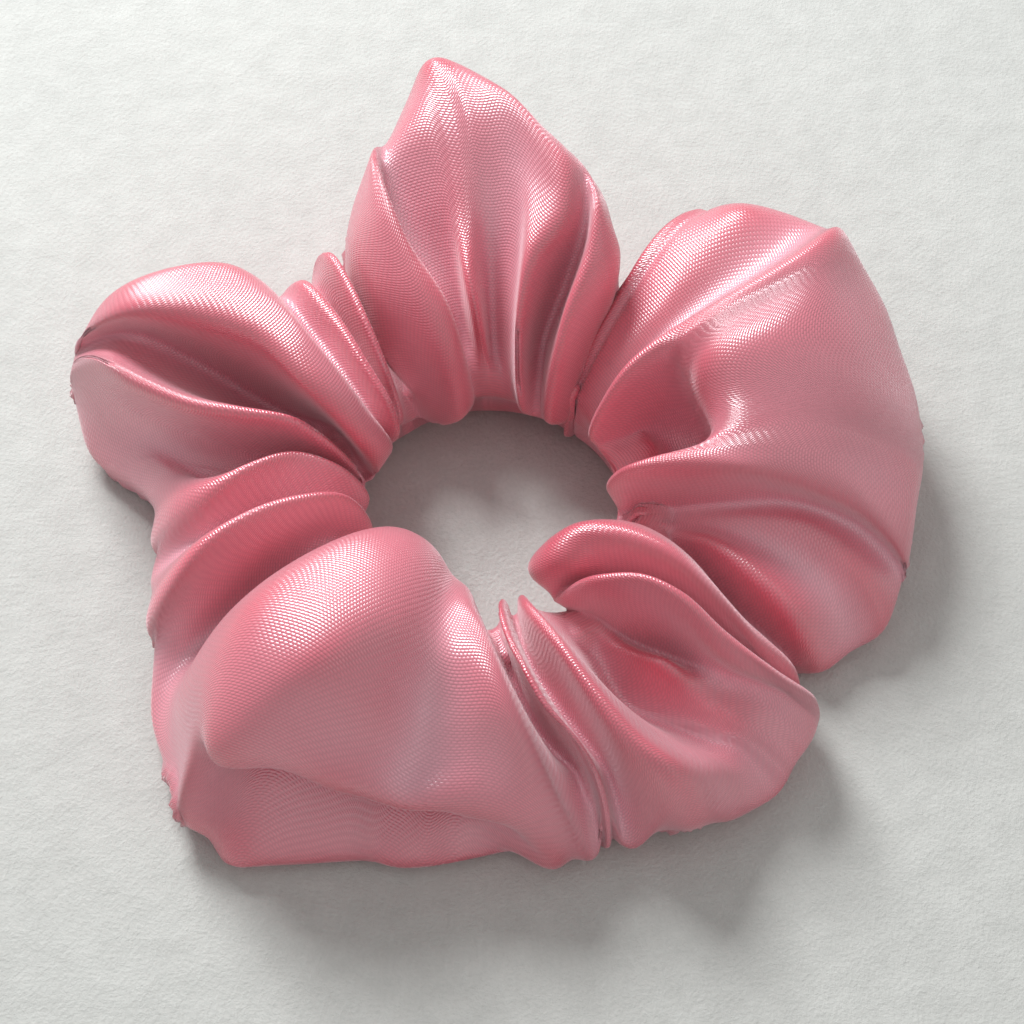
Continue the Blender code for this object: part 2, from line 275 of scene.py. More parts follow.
     (326.5, 45, 7.5), (328, 49, 4)),
    ("outer petal inner side",
     (295, 16, 14), (303, 17, 19.5), (315, 18.5, 21.5), (323, 23, 22.5), (326, 29, 21.5),
     (326, 35, 18.5), (326, 42, 12), (328, 48, 6)),
    ("outer petal",
     (293, 13.5, 13), (302, 14, 19), (317, 15.5, 22.5), (326, 20, 23.5), (329, 27, 23), (329, 33, 20),
     (328, 40, 15), (330, 46, 8)),
    ("outer petal edge",
     (300, 11.5, 11), (318, 11.5, 15), (334, 15.5, 17), (340, 21, 17), (338, 28, 15), (335, 33, 12),
     (332, 40, 7), (331, 44, 3)),
)
SEAM_FOLD = "seam ditch"  # the fold line that the closing seam follows
PUCKERED_FOLD = "dome left low"  # where the long seam rolls up into sight


# ---- laying out the folds

def place(bearing, radius, height):
    """World place, in metres, of a point given round the ring in degrees and millimetres."""
    angle = math.radians(bearing)
    return np.array([RING_X + radius * 0.001 * math.cos(angle),
                     RING_Y + radius * 0.001 * math.sin(angle),
                     height * 0.001])


def turn_between(first, second):
    """Signed turn in degrees from one bearing to another."""
    return (second - first + 180.0) % 360.0 - 180.0


def spaced_knots(points, power):
    """Knots round a closed row of points, from the distance between neighbours."""
    gaps = np.linalg.norm((np.roll(points, -1, 0) - points).reshape(len(points), -1), axis=1)
    return np.concatenate([[0.0], np.cumsum(gaps ** power)])


def closed_curve(points, knots, samples):
    """Smooth closed curve through points, at the sample values of its knots."""
    count = len(points)
    period = knots[-1]
    before = np.clip(np.searchsorted(knots, samples, side="right") - 1, 0, count - 1)
    steps = np.diff(knots)
    shape = (count,) + (1,) * (points.ndim - 1)
    ahead = (np.roll(points, -1, 0) - points) / steps.reshape(shape)
    behind = np.roll(ahead, 1, 0)
    step_behind = np.roll(steps, 1)
    both = (np.roll(points, -1, 0) - np.roll(points, 1, 0)) / (steps + step_behind).reshape(shape)
    slopes = ahead + behind - both
    after = (before + 1) % count
    span = steps[before].reshape((-1,) + (1,) * (points.ndim - 1))
    x = ((samples - knots[before]) / steps[before]).reshape(span.shape)
    curve = (2 * x ** 3 - 3 * x ** 2 + 1) * points[before]
    curve = curve + (x ** 3 - 2 * x ** 2 + x) * span * slopes[before]
    curve = curve + (3 * x ** 2 - 2 * x ** 3) * points[after]
    return curve + (x ** 3 - x ** 2) * span * slopes[after]


def section(fold, gather_bearing):
    """One fold line closed under the puff: its evenly spaced points, and the share of the way
    round at which its rim lies."""
    top = fold[1:]
    samples = 600
    bearing, radius, height = top[-1]
    between = bearing + turn_between(bearing, gather_bearing) * 0.4
    tucked = 0.985 if height > 8 else 0.97
    points = [place(gather_bearing, GATHER_RADIUS * 1000, GATHER_HEIGHT * 1000)]
    points += [place(*point) for point in top]
    points.append(place(bearing, radius * tucked, max(height * 0.45, 1.2)))
    points.append(place(bearing, radius * 0.88, 0.5))
    points.append(place(between, radius * 0.6, 0.3))
    points.append(place(gather_bearing, GATHER_RADIUS * 1000 + 3.4, 1.3))
    points.append(place(gather_bearing, GATHER_RADIUS * 1000 + 0.2, 3.2))
    points = np.array(points)
    knots = spaced_knots(points, 0.5)
    dense = closed_curve(points, knots, np.linspace(0, knots[-1], samples, endpoint=False))
    ring = np.vstack([dense, dense[:1]])
    lengths = np.linalg.norm(np.diff(ring, axis=0), axis=1)
    along = np.concatenate([[0.0], np.cumsum(lengths)])
    wanted = np.arange(ROWS) / ROWS * along[-1]
    even = np.stack([np.interp(wanted, along, ring[:, axis]) for axis in range(3)], 1)
    rim = np.interp(knots[len(top)] / knots[-1] * samples, np.arange(samples + 1), along) / along[-1]
    return even, rim


def laid_out():
    """The tube of cloth over all the fold lines, as columns by rows of points, with each column's
    rim share and the column of each fold line."""
    start = FOLDS[0][1][0]
    edge = np.array([(fold[1][0] - start + 30) % 360 - 30 for fold in FOLDS], float)
    edge[0] = 0.0
    even = np.arange(len(FOLDS)) * 360.0 / len(FOLDS)
    gathers = start + 0.6 * np.maximum.accumulate(edge) + 0.4 * even
    made = [section(fold, gather) for fold, gather in zip(FOLDS, gathers)]
    sections = np.array([points for points, rim in made])
    rims = np.array([rim for points, rim in made])
    gaps = np.linalg.norm(np.roll(sections, -1, 0) - sections, axis=2)
    widest = np.sort(gaps, axis=1)[:, ROWS // 3:].mean(1)
    knots = np.concatenate([[0.0], np.cumsum(widest ** 0.8)])
    samples = np.arange(COLUMNS) / COLUMNS * knots[-1]
    cloth = rounded_folds(closed_curve(sections, knots, samples))
    cloth[:, 1:] += outward(cloth)[:, 1:] * PUFF_OUT
    cloth[..., 2] = np.maximum(cloth[..., 2], 0.0003)
    rim = np.interp(samples, knots, np.append(rims, rims[0]))
    columns = {fold[0]: knot / knots[-1] for fold, knot in zip(FOLDS, knots)}
    return cloth, rim, columns


def rounded_folds(cloth):
    """Rounds the folds off along the tube, row by row, over FOLD_ROUNDING."""
    steps = 40
    for _ in range(steps):
        ahead = np.roll(cloth, -1, 0) - cloth
        behind = np.roll(cloth, 1, 0) - cloth
        gap = (np.linalg.norm(ahead, axis=2) + np.linalg.norm(behind, axis=2)) / 2
        share = (FOLD_ROUNDING * 0.001) ** 2 / (2 * steps * np.maximum(gap, 1e-5) ** 2)
        cloth = cloth + (ahead + behind) * np.minimum(share, 0.24)[..., None]
    return cloth


def clear_of_elastic(cloth, rim):
    """Keeps the cloth over, under and inside the elastic that it is gathered on. It may sink again
    beyond the elastic, at a slope."""
    low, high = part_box("elastic_band")
    inner = (high[1] - low[1]) / 2 - 0.001  # less the elastic's thickness
    held_from = inner - 0.0006
    away = np.hypot(cloth[..., 0] - RING_X, cloth[..., 1] - RING_Y)
    rows = cloth.shape[1]
    row = np.arange(rows)[None, :] / rows
    over = row < rim[:, None]
    beyond = np.maximum(away - (inner + 0.0030), 0.0)
    lowest = high[2] + ELASTIC_MARGIN - beyond * 1.6
    held = over & (away > held_from)
    cloth[..., 2] = np.where(held, np.maximum(cloth[..., 2], lowest), cloth[..., 2])
    highest = low[2] - ELASTIC_MARGIN + beyond * 3.0
    under = ~over & (away > held_from) & (away < inner + 0.006)
    cloth[..., 2] = np.where(under, np.minimum(cloth[..., 2], highest), cloth[..., 2])
    return cloth


def grid_faces(columns, rows):
    column = np.repeat(np.arange(columns), rows)
    row = np.tile(np.arange(rows), columns)
    next_column = (column + 1) % columns
    next_row = (row + 1) % rows
    return np.stack([column * rows + row, next_column * rows + row,
                     next_column * rows + next_row, column * rows + next_row], 1)


def square(half):
    """Corners of a flat square on the table."""
    return [(-half, -half, 0.0), (half, -half, 0.0), (half, half, 0.0), (-half, half, 0.0)]


def new_mesh(name, points, faces, surface=None):
    mesh = bpy.data.meshes.new(name)
    mesh.from_pydata(points, [], faces)
    mesh.shade_smooth()
    if surface is not None:
        mesh.materials.append(surface)
    obj = bpy.data.objects.new(name, mesh)
    bpy.context.collection.objects.link(obj)
    return obj


# ---- the cloth simulation

def relaxed(cloth):
    """Lets the laid-out tube settle for a few frames, held at its gathered line."""
    scaled = cloth.reshape(-1, 3) * SIMULATION_SCALE
    obj = new_mesh("relaxing", scaled.tolist(), grid_faces(COLUMNS, ROWS).tolist())
    held = obj.vertex_groups.new(name="held")
    held.add([column * ROWS for column in range(COLUMNS)], 1.0, "REPLACE")
    floor = new_mesh("relaxing_floor", square(2.0), [(0, 1, 2, 3)])
    floor.modifiers.new("floor", "COLLISION")
    floor.collision.thickness_outer = 0.003
    floor.collision.cloth_friction = 20
    modifier = obj.modifiers.new("cloth", "CLOTH")
    cloth_settings(modifier)
    scene = bpy.context.scene
    scene.frame_start = 1
    scene.frame_end = SIMULATION_FRAMES
    modifier.point_cache.frame_start = 1
    modifier.point_cache.frame_end = SIMULATION_FRAMES
    for number in range(1, SIMULATION_FRAMES + 1):
        scene.frame_set(number)
    moved = obj.evaluated_get(bpy.context.evaluated_depsgraph_get()).to_mesh()
    points = np.empty(len(moved.vertices) * 3)
    moved.vertices.foreach_get("co", points)
    scene.frame_set(1)
    bpy.data.objects.remove(obj, do_unlink=True)
    bpy.data.objects.remove(floor, do_unlink=True)
    return capped(cloth, points.reshape(COLUMNS, ROWS, 3) / SIMULATION_SCALE)


def capped(cloth, moved):
    """The simulated cloth, with no point further than MOST_RELAXED from where it was laid out, and
    the movement smoothed, so that the cloth doesn't bunch into ragged ridges."""
    shift = moved - cloth
    far = np.linalg.norm(shift, axis=2, keepdims=True)
    eased = MOST_RELAXED * np.tanh(far / MOST_RELAXED)
    shift = shift * eased / np.maximum(far, 1e-9)
    for axis in (0, 1) * 4:
        shift = (np.roll(shift, 1, axis) + 2 * shift + np.roll(shift, -1, axis)) / 4
    return cloth + shift


def cloth_settings(modifier):
    cloth = modifier.settings
    cloth.quality = 5
    cloth.mass = 0.02
    cloth.air_damping = 3.0
    cloth.bending_model = "ANGULAR"
    cloth.tension_stiffness = 20
    cloth.compression_stiffness = 20
    cloth.shear_stiffness = 8
    cloth.bending_stiffness = 0.05
    cloth.tension_damping = 15
    cloth.compression_damping = 15
    cloth.shear_damping = 8
    cloth.bending_damping = 0.5
    cloth.vertex_group_mass = "held"
    cloth.pin_stiffness = 1.0
    cloth.use_pressure = True
    cloth.uniform_pressure_force = 0.3
    cloth.effector_weights.gravity = 0.1
    contact = modifier.collision_settings
    contact.distance_min = 0.003
    contact.collision_quality = 2
    contact.use_self_collision = True
    contact.self_distance_min = 0.002
    contact.self_friction = 5


# ---- the finished cover

def refined(grid):
    """Twice as many columns and rows, on a smooth surface through the same cloth."""
    for axis in (0, 1):
        before = np.roll(grid, 1, axis)
        after = np.roll(grid, -1, axis)
        later = np.roll(grid, -2, axis)
        middle = (9 * (grid + after) - before - later) / 16
        shape = list(grid.shape)
        shape[axis] *= 2
        finer = np.empty(shape)
        if axis == 0:
            finer[0::2] = grid
            finer[1::2] = middle
        else:
            finer[:, 0::2] = grid
            finer[:, 1::2] = middle
        grid = finer
    return grid


def outward(grid):
    """Unit normals of the closed grid, facing out of the tube."""
    along = np.roll(grid, -1, 0) - np.roll(grid, 1, 0)
    across = np.roll(grid, -1, 1) - np.roll(grid, 1, 1)
    normal = np.cross(along, across)
    return normal / np.maximum(np.linalg.norm(normal, axis=2, keepdims=True), 1e-12)


def smoothed(values, times):
    """Values of the closed grid, averaged with their neighbours over and over."""
    for _ in range(times):
        values = (values * 2 + np.roll(values, 1, 0) + np.roll(values, -1, 0)) / 4
        values = (values * 2 + np.roll(values, 1, 1) + np.roll(values, -1, 1)) / 4
    return values


def arc_lengths(grid):
    """Metres along the tube and metres round it, for every point."""
    along = np.linalg.norm(np.roll(grid, -1, 0) - grid, axis=2)
    rows = grid.shape[1]
    seen = np.sort(along[:, rows // 8: rows * 5 // 8], axis=1)[:, rows // 8:].mean(1)
    seen = smoothed(seen[:, None], 6)[:, 0]
    u = np.concatenate([[0.0], np.cumsum(seen)])
    around = np.linalg.norm(np.roll(grid, -1, 1) - grid, axis=2)
    v = np.concatenate([np.zeros((grid.shape[0], 1)), np.cumsum(around, axis=1)], axis=1)
    return u, v


def painted_fold_shade(grid):
    """How deep in a fold each point lies, from 0 on a crest to 1 in a valley: the share of painted shade
    that the satin's colour gets there.
    """
    normal = outward(grid)
    spread = grid.copy()
    for _ in range(40):
        spread = (spread * 2 + np.roll(spread, 1, 0) + np.roll(spread, -1, 0)) / 4
    for _ in range(10):
        spread = (spread * 2 + np.roll(spread, 1, 1) + np.roll(spread, -1, 1)) / 4
    hollow = ((spread - grid) * normal).sum(2)
    full_range = 0.0016
    return np.clip(0.5 + hollow / full_range, 0.0, 1.0)


def long_seam_place(rim, v, columns):
    """How far round the tube its long seam lies at each column: just under the rim, rolled up into
    sight at one corner of the front left puff."""
    corner = columns[PUCKERED_FOLD] * len(rim)
    away = np.abs(np.arange(len(rim)) - corner) / len(rim)
    rolled = np.exp(-(away / 0.012) ** 2)
    return rim * v[:, -1] + 0.0050 - 0.0085 * rolled


def seam_ditches(grid, rim, columns):
    """Sinks a narrow ditch, raised at its edges, along the closing seam, and a puckered ditch along
    the tube's own long seam."""
    normal = outward(grid)
    u, v = arc_lengths(grid)
    seam_u = np.interp(columns[SEAM_FOLD] * grid.shape[0], np.arange(grid.shape[0] + 1), u)
    away = np.abs(u[:-1] - seam_u)
    away = np.minimum(away, u[-1] - away)
    wide = 0.0009
    ditch = 0.0009 * np.exp(-(away / wide) ** 2)
    raised = 0.0003 * np.exp(-((away - 0.0022) / wide) ** 2)
    grid = grid - normal * (ditch - raised)[:, None, None]
    seam_v = long_seam_place(rim, v, columns)
    off = v[:, :-1] - seam_v[:, None]
    pucker = 1.0 + 0.35 * np.sin(u[:-1] / 0.0022 * 2 * math.pi)
    depth = 0.0008 * np.exp(-(off / 0.0010) ** 2) * pucker[:, None]
    grid = grid - normal * depth[..., None]
    lowest = 0.0002
    grid[..., 2] = np.maximum(grid[..., 2], lowest)
    return grid


def satin_cover(grid):
    """The cover, in metres along and round the tube as its UVs, and with some thickness."""
    columns, rows = grid.shape[:2]
    obj = new_mesh("satin_cover", grid.reshape(-1, 3).tolist(), grid_faces(columns, rows).tolist())
    u, v = arc_lengths(grid)
    column = np.repeat(np.arange(columns), rows)
    row = np.tile(np.arange(rows), columns)
    corner_columns = np.stack([column, column + 1, column + 1, column], 1)
    corner_rows = np.stack([row, row, row + 1, row + 1], 1)
    coordinates = np.stack([u[corner_columns], v[corner_columns % columns, corner_rows]], -1)
    layer = obj.data.uv_layers.new(name="cloth")
    layer.data.foreach_set("uv", (coordinates * UV_PER_METRE).astype(np.float32).ravel())
    # the share of painted shade in the folds, which the satin's colour reads
    depth = obj.data.attributes.new("painted_fold_shade", "FLOAT", "POINT")
    depth.data.foreach_set("value", painted_fold_shade(grid).astype(np.float32).ravel())
    solid = obj.modifiers.new("thickness", "SOLIDIFY")
    solid.thickness = CLOTH_THICKNESS
    solid.offset = -1.0
    solid.use_even_offset = False
    with bpy.context.temp_override(object=obj, active_object=obj, selected_objects=[obj]):
        bpy.ops.object.modifier_apply(modifier="thickness")
    obj.data.materials.append(satin_material())
    obj.data.shade_smooth()
    return obj


# ---- thread and elastic

def thread_stitches(name, starts, ends, surface):
    """A row of short stitches, each a bowed bead of thread from its start to its end."""
    radius = STITCH_RADIUS
    points = []
    faces = []
    sides = 8
    steps = 6
    for start, end in zip(starts, ends):
        reach = end - start
        length = np.linalg.norm(reach)
        if length < 1e-6:
            continue
        ahead = reach / length
        side = np.cross(ahead, (0.0, 0.0, 1.0))
        side = side / max(np.linalg.norm(side), 1e-9)
        lift = np.cross(side, ahead)
        base = len(points)
        for step in range(steps + 1):
            share = step / steps
            bow = math.sin(math.pi * share)
            middle = start + reach * share + lift * radius * 0.9 * bow
            thick = radius * (0.35 + 0.65 * bow ** 0.5)
            for k in range(sides):
                angle = 2 * math.pi * k / sides
                points.append(middle + (side * math.cos(angle) + lift * math.sin(angle)) * thick)
        for step in range(steps):
            for k in range(sides):
                here = base + step * sides + k
                beside = base + step * sides + (k + 1) % sides
                faces.append((here, beside, beside + sides, here + sides))
        faces.append(tuple(base + k for k in range(sides - 1, -1, -1)))
        faces.append(tuple(base + steps * sides + k for k in range(sides)))
    return new_mesh(name, [tuple(point) for point in points], faces, surface)


def stitch_row(path, normals, pitch, share):
    """Start and end points of stitches along a path, standing half out of the cloth. Each is the
    given share of the pitch long."""
    gaps = np.linalg.norm(np.diff(path, axis=0), axis=1)
    along = np.concatenate([[0.0], np.cumsum(gaps)])
    count = max(1, int(along[-1] / pitch))
    begin = (np.arange(count) + 0.5 * (1 - share)) * pitch
    finish = begin + share * pitch
    lifted = path + normals * STITCH_RADIUS * 0.2
    starts = np.stack([np.interp(begin, along, lifted[:, axis]) for axis in range(3)], 1)
    ends = np.stack([np.interp(finish, along, lifted[:, axis]) for axis in range(3)], 1)
    return starts, ends


def closing_seam_stitches(grid, rim, columns, surface):
    """Along the closing seam, from the hole over the top to just past the rim."""
    column = int(round(columns[SEAM_FOLD] * grid.shape[0])) % grid.shape[0]
    last = int(rim[column] * grid.shape[1]) + grid.shape[1] // 12
    path = grid[column, 3:last]
    normals = outward(grid)[column, 3:last]
    starts, ends = stitch_row(path, normals, pitch=0.0017, share=0.72)
    return thread_stitches("closing_seam_stitches", starts, ends, surface)


def tube_seam_stitches(grid, rim, columns, surface):
    """All the way round, along the tube's own long seam."""
    _, v = arc_lengths(grid)
    wanted = long_seam_place(rim, v, columns)
    normals = outward(grid)
    path = []
    facing = []
    for column in range(grid.shape[0]):
        row = np.interp(wanted[column], v[column], np.arange(grid.shape[1] + 1))
        low = int(row) % grid.shape[1]
        high = (low + 1) % grid.shape[1]
        share = row - int(row)
        path.append(grid[column, low] * (1 - share) + grid[column, high] * share)
        facing.append(normals[column, low])
    path.append(path[0])
    facing.append(facing[0])
    starts, ends = stitch_row(np.array(path), np.array(facing), pitch=0.0022, share=0.7)
    return thread_stitches("tube_seam_stitches", starts, ends, surface)


def woven_elastic(surface):
    """The lapped loop of braided elastic, with the ribs of its braid."""
    low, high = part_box("elastic_band")
    ring = (high[1] - low[1]) / 2 - 0.0005
    width = high[2] - low[2]
    middle = (high[2] + low[2]) / 2
    lap = LAP_LENGTH / ring
    run_in = LAP_LENGTH / ring
    whole = 2 * math.pi + lap
    steps = 420
    ribs = 8
    profile = []
    for k in range(ribs * 4 + 1):
        up = (k / (ribs * 4) - 0.5) * width
        profile.append((0.00042 + 0.00008 * abs(math.sin(math.pi * k / 4)), up))
    profile += [(-out, up) for out, up in reversed(profile)]
    points = []
    for step in range(steps + 1):
        travelled = whole * step / steps
        share = min(1.0, max(0.0, (travelled - 2 * math.pi + run_in) / run_in))
        radius = ring + LAP_STEP * share * share * (3 - 2 * share)
        bearing = math.pi - lap / 2 + travelled
        ripple = 0.00003 * math.sin(step * math.pi / 2)
        for out, up in profile:
            points.append((RING_X + (radius + out + ripple) * math.cos(bearing),
                           RING_Y + (radius + out + ripple) * math.sin(bearing), middle + up))
    count = len(profile)
    faces = [tuple(range(count)), tuple(steps * count + k for k in range(count - 1, -1, -1))]
    for step in range(steps):
        for k in range(count):
            here = step * count + k
            beside = step * count + (k + 1) % count
            faces.append((here, here + count, beside + count, beside))
    return new_mesh("woven_elastic", points, faces, surface)


def lap_whipping(surface):
    """The turns of thread that join the elastic's lapped ends."""
    low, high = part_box("elastic_join_thread")
    middle = [(low[axis] + high[axis]) / 2 for axis in range(3)]
    reach = [(high[axis] - low[axis]) / 2 - 0.00025 for axis in range(3)]
    steps = 28
    path = []
    for step in range(WHIPPING_TURNS * steps + 1):
        angle = 2 * math.pi * step / steps
        across = (abs(math.cos(angle)) ** 0.5) * math.copysign(1, math.cos(angle))
        upward = (abs(math.sin(angle)) ** 0.5) * math.copysign(1, math.sin(angle))
        along = 2 * step / (WHIPPING_TURNS * steps) - 1
        bend = (reach[1] * along) ** 2 / 0.044
        path.append((middle[0] + reach[0] * 0.85 * across + bend,
                     middle[1] + reach[1] * along, middle[2] + reach[2] * upward))
    curve = bpy.data.curves.new("lap_whipping", "CURVE")
    curve.dimensions = "3D"
    curve.bevel_depth = 0.00022
    curve.bevel_resolution = 2
    spline = curve.splines.new("POLY")
    spline.points.add(len(path) - 1)
    for point, at in zip(spline.points, path):
        point.co = (*at, 1.0)
    made = bpy.data.objects.new("lap_whipping_curve", curve)
    bpy.context.collection.objects.link(made)
    shown = made.evaluated_get(bpy.context.evaluated_depsgraph_get())
    mesh = bpy.data.meshes.new_from_object(shown)
    bpy.data.objects.remove(made, do_unlink=True)
    mesh.name = "lap_whipping"
    mesh.shade_smooth()
    mesh.materials.clear()
    mesh.materials.append(surface)
    obj = bpy.data.objects.new("lap_whipping", mesh)
    bpy.context.collection.objects.link(obj)
    return obj


# ---- materials

class Nodes:
    """Short names for building a material's nodes."""

    def __init__(self, name):
        self.material = bpy.data.materials.new(name)
        self.material.use_nodes = True
        self.tree = self.material.node_tree
        self.shader = self.tree.nodes["Principled BSDF"]

    def node(self, kind, **values):
        made = self.tree.nodes.new(kind)
        for key, value in values.items():
            setattr(made, key, value)
        return made

    def link(self, output, socket):
        self.tree.links.new(output, socket)

    def math(self, operation, first, second=None, third=None, clamp=False):
        made = self.node("ShaderNodeMath", operation=operation, use_clamp=clamp)
        for socket, value in zip(made.inputs, (first, second, third)):
            if value is None:
                continue
            if isinstance(value, (int, float)):
                socket.default_value = value
            else:
                self.link(value, socket)
        return made.outputs[0]

    def mix(self, share, first, second):
        made = self.node("ShaderNodeMix", data_type="RGBA")
        sockets = (made.inputs[0], made.inputs[6], made.inputs[7])
        for socket, value in zip(sockets, (share, first, second)):
            if isinstance(value, (int, float, tuple)):
                socket.default_value = value
            else:
                self.link(value, socket)
        return made.outputs[2]

    def noise(self, coordinates, scale, detail=3.0, roughness=0.5):
        made = self.node("ShaderNodeTexNoise")
        made.inputs["Scale"].default_value = scale
        made.inputs["Detail"].default_value = detail
        made.inputs["Roughness"].default_value = roughness
        self.link(coordinates, made.inputs["Vector"])
        return made.outputs["Fac"]

    def bump(self, height, distance, strength=1.0, under=None):
        made = self.node("ShaderNodeBump")
        made.inputs["Strength"].default_value = strength
        made.inputs["Distance"].default_value = distance
        self.link(height, made.inputs["Height"])
        if under is not None:
            self.link(under, made.inputs["Normal"])
        return made.outputs["Normal"]


def weave(nodes, coordinates):
    """Height of the satin's floats: rows of short lengthwise threads, each row shifted on."""
    split = nodes.node("ShaderNodeSeparateXYZ")
    nodes.link(coordinates, split.inputs[0])
    pitch = 0.00042
    float_length = 0.00072
    across = nodes.math("MULTIPLY", split.outputs[1], 1 / UV_PER_METRE / pitch)
    row = nodes.math("FLOOR", across)
    along = nodes.math("MULTIPLY", split.outputs[0], 1 / UV_PER_METRE / float_length)
    along = nodes.math("MULTIPLY_ADD", row, 0.4, along)
    thread = nodes.math("SINE", nodes.math("MULTIPLY", nodes.math("FRACT", across), math.pi))
    floating = nodes.math("SINE", nodes.math("MULTIPLY", nodes.math("FRACT", along), math.pi))
    floating = nodes.math("POWER", floating, 0.6)
    return nodes.math("MULTIPLY", thread, floating)


def satin_material():
    """Pink satin: painted shade makes it deeper and redder in the folds and duller between its threads,
    and it is softly creased.
    """
    nodes = Nodes("pink satin")
    shader = nodes.shader
    mapped = nodes.node("ShaderNodeUVMap", uv_map="cloth").outputs[0]
    height = weave(nodes, mapped)
    where = nodes.node("ShaderNodeTexCoord").outputs["Object"]
    broad = nodes.noise(where, 60.0, 2.0)
    fine = nodes.noise(where, 900.0, 3.0)
    # painted shade in the folds: crest is the satin's own pink, valley a darker, redder pink for the
    # shade and bounced pink light deep in the folds, mixed in by how deep in a fold each point lies
    depth = nodes.node("ShaderNodeAttribute", attribute_name="painted_fold_shade").outputs["Fac"]
    crest = (0.78, 0.315, 0.385, 1.0)
    valley = (0.66, 0.075, 0.12, 1.0)
    colour = nodes.mix(nodes.math("MULTIPLY", depth, 0.9, clamp=True), crest, valley)
    hue = nodes.node("ShaderNodeHueSaturation")
    nodes.link(colour, hue.inputs["Color"])
    # painted light and shade of the weave: darker between the floats, where shade falls, and lighter on
    # their tops; the two noises vary the tone at random
    bright = nodes.math("MULTIPLY_ADD", height, 0.26, 0.88)
    bright = nodes.math("MULTIPLY_ADD", nodes.math("SUBTRACT", broad, 0.5), 0.12, bright)
    bright = nodes.math("MULTIPLY_ADD", nodes.math("SUBTRACT", fine, 0.5), 0.10, bright)
    nodes.link(bright, hue.inputs["Value"])
    nodes.link(hue.outputs[0], shader.inputs["Base Color"])
    rough = nodes.math("MULTIPLY_ADD", height, -0.06, 0.36)
    nodes.link(rough, shader.inputs["Roughness"])
    shader.inputs["Specular IOR Level"].default_value = 1.0
    shader.inputs["IOR"].default_value = 1.8
    shader.inputs["Specular Tint"].default_value = (0.95, 0.97, 0.97, 1.0)
    shader.inputs["Sheen Weight"].default_value = 0.7
    shader.inputs["Sheen Roughness"].default_value = 0.35
    shader.inputs["Sheen Tint"].default_value = (1.0, 0.88, 0.90, 1.0)
    shader.inputs["Anisotropic"].default_value = 0.5
    normal = nodes.bump(height, 0.00006, 0.9)
    creases = nodes.noise(where, 140.0, 3.0)
    nodes.link(nodes.bump(creases, 0.00025, 0.6, normal), shader.inputs["Normal"])
    return nodes.material


def thread_material():
    """Pink sewing thread, with its twist."""
    nodes = Nodes("pink sewing thread")
    shader = nodes.shader
    where = nodes.node("ShaderNodeTexCoord").outputs["Object"]
    twist = nodes.node("ShaderNodeTexWave", wave_type="BANDS", bands_direction="DIAGONAL")
    twist.inputs["Scale"].default_value = 1400.0
    twist.inputs["Distortion"].default_value = 1.0
    nodes.link(where, twist.inputs["Vector"])
    colour = nodes.mix(twist.outputs["Fac"], (0.50, 0.14, 0.20, 1.0), (0.74, 0.34, 0.40, 1.0))
    nodes.link(colour, shader.inputs["Base Color"])
    shader.inputs["Roughness"].default_value = 0.6
    shader.inputs["Sheen Weight"].default_value = 0.3
    nodes.link(nodes.bump(twist.outputs["Fac"], 0.00004), shader.inputs["Normal"])
    return nodes.material


def elastic_material():
    """White elastic, with the fuzzy rows of its braid."""
    nodes = Nodes("white braided elastic")
    shader = nodes.shader
    where = nodes.node("ShaderNodeTexCoord").outputs["Object"]
    braid = nodes.node("ShaderNodeTexWave", wave_type="BANDS", bands_direction="Z")
    braid.inputs["Scale"].default_value = 420.0
    braid.inputs["Distortion"].default_value = 2.0
    nodes.link(where, braid.inputs["Vector"])
    fuzz = nodes.noise(where, 1500.0)
    colour = nodes.mix(braid.outputs["Fac"], (0.62, 0.60, 0.56, 1.0), (0.84, 0.83, 0.80, 1.0))
    nodes.link(colour, shader.inputs["Base Color"])
    rough = nodes.math("MULTIPLY_ADD", fuzz, 0.2, 0.6)
    nodes.link(rough, shader.inputs["Roughness"])
    shader.inputs["Sheen Weight"].default_value = 0.2
    nodes.link(nodes.bump(braid.outputs["Fac"], 0.0001), shader.inputs["Normal"])
    return nodes.material


def felt_material():
    """Pale felt, in clumps of fine fibres."""
    nodes = Nodes("pale felt")
    shader = nodes.shader
    where = nodes.node("ShaderNodeTexCoord").outputs["Object"]
    clumps = nodes.noise(where, 210.0, 4.0, 0.6)
    fibres = nodes.noise(where, 1700.0, 4.0, 0.7)
    blotch = nodes.noise(where, 28.0, 2.0)
    tone = nodes.math("MULTIPLY_ADD", clumps, 0.5, nodes.math("MULTIPLY", fibres, 0.5))
    tone = nodes.math("MULTIPLY_ADD", nodes.math("SUBTRACT", tone, 0.5), 2.0, 0.5, clamp=True)
    colour = nodes.mix(tone, (0.49, 0.49, 0.46, 1.0), (0.62, 0.62, 0.585, 1.0))
    shade = nodes.node("ShaderNodeHueSaturation")
    nodes.link(colour, shade.inputs["Color"])
    nodes.link(nodes.math("MULTIPLY_ADD", blotch, 0.12, 0.94), shade.inputs["Value"])
    nodes.link(shade.outputs[0], shader.inputs["Base Color"])
    shader.inputs["Roughness"].default_value = 0.95
    shader.inputs["Specular IOR Level"].default_value = 0.15
    shader.inputs["Sheen Weight"].default_value = 0.4
    shader.inputs["Sheen Roughness"].default_value = 0.6
    tall = nodes.math("MULTIPLY_ADD", fibres, 0.6, clumps)
    nodes.link(nodes.bump(tall, 0.0008, 0.5), shader.inputs["Normal"])
    return nodes.material


# ---- floor, light and camera

def felt_floor():
    mesh = bpy.data.meshes.new("felt_floor")
    mesh.from_pydata(square(0.9), [], [(0, 1, 2, 3)])
    mesh.materials.append(felt_material())
    floor = bpy.data.objects.new("felt_floor", mesh)
    bpy.context.collection.objects.link(floor)


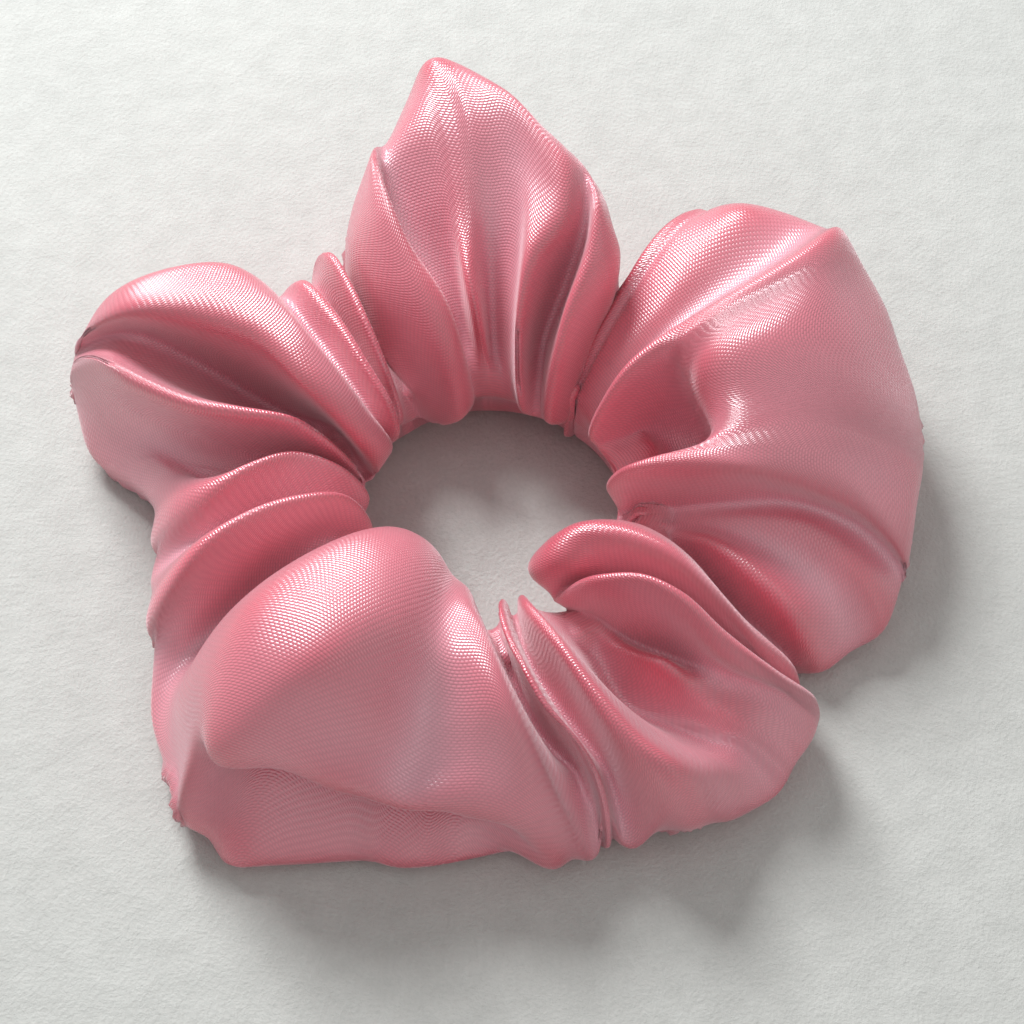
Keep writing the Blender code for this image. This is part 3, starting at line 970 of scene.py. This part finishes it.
def area_light(name, place_at, size, energy, colour):
    """A round light that faces the middle of the scene."""
    data = bpy.data.lights.new(name, "AREA")
    data.shape = "DISK"
    data.size = size
    data.energy = energy
    data.color = colour
    light = bpy.data.objects.new(name, data)
    light.location = place_at
    light.rotation_euler = (-Vector(place_at)).to_track_quat("-Z", "Y").to_euler()
    bpy.context.collection.objects.link(light)


def lighting():
    area_light("window", (-0.22, 0.42, 0.42), 0.27, 5.2, (0.95, 0.98, 1.0))
    area_light("fill", (0.45, -0.35, 0.50), 0.5, 0.35, (1.0, 0.95, 0.90))
    world = bpy.data.worlds.new("room")
    bpy.context.scene.world = world
    world.use_nodes = True
    background = world.node_tree.nodes["Background"]
    background.inputs[0].default_value = (0.97, 0.98, 1.0, 1.0)
    background.inputs[1].default_value = 0.48
    bpy.context.scene.view_settings.view_transform = "Standard"


def camera():
    """Looks down from the front, on the middle of the scrunchie."""
    low, high = CAD_BOX
    aim = Vector(((low[0] + high[0]) / 2 + 0.0025, (low[1] + high[1]) / 2 - 0.002, low[2] + 0.008))
    elevation = math.radians(60.0)
    distance = 0.30
    half_view = 0.069  # of the picture's width, at the aim
    data = bpy.data.cameras.new("camera")
    data.sensor_width = 36.0
    data.lens = data.sensor_width / 2 / (half_view / distance)
    data.clip_start = 0.01
    made = bpy.data.objects.new("camera", data)
    made.location = aim + distance * Vector((0.0, -math.cos(elevation), math.sin(elevation)))
    made.rotation_euler = (aim - made.location).to_track_quat("-Z", "Y").to_euler()
    bpy.context.collection.objects.link(made)
    bpy.context.scene.camera = made


# ---- putting it together

def refined_rim(rim):
    """The rim share for every refined column."""
    finer = np.empty(len(rim) * 2)
    finer[0::2] = rim
    finer[1::2] = (rim + np.roll(rim, -1)) / 2
    return finer


def blended(obj, *nodes):
    """Shows obj in place of the CAD nodes, with its transform baked into its mesh."""
    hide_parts(*nodes)
    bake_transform(obj)


camera()
lighting()
felt_floor()
cloth, rim, columns = laid_out()
cloth = clear_of_elastic(cloth, rim)
cloth = relaxed(cloth)
cloth = refined(cloth)
rim = refined_rim(rim)
cloth = clear_of_elastic(cloth, rim)
cloth = seam_ditches(cloth, rim, columns)
cover = satin_cover(cloth)
thread = thread_material()
seam = closing_seam_stitches(cloth, rim, columns, thread)
long_seam = tube_seam_stitches(cloth, rim, columns, thread)
elastic = woven_elastic(elastic_material())
whipping = lap_whipping(thread)

blended(cover, "cover_left", "cover_right")
blended(seam, "closing_seam_thread")
blended(long_seam, "tube_seam_thread")
blended(elastic, "elastic_band")
blended(whipping, "elastic_join_thread")
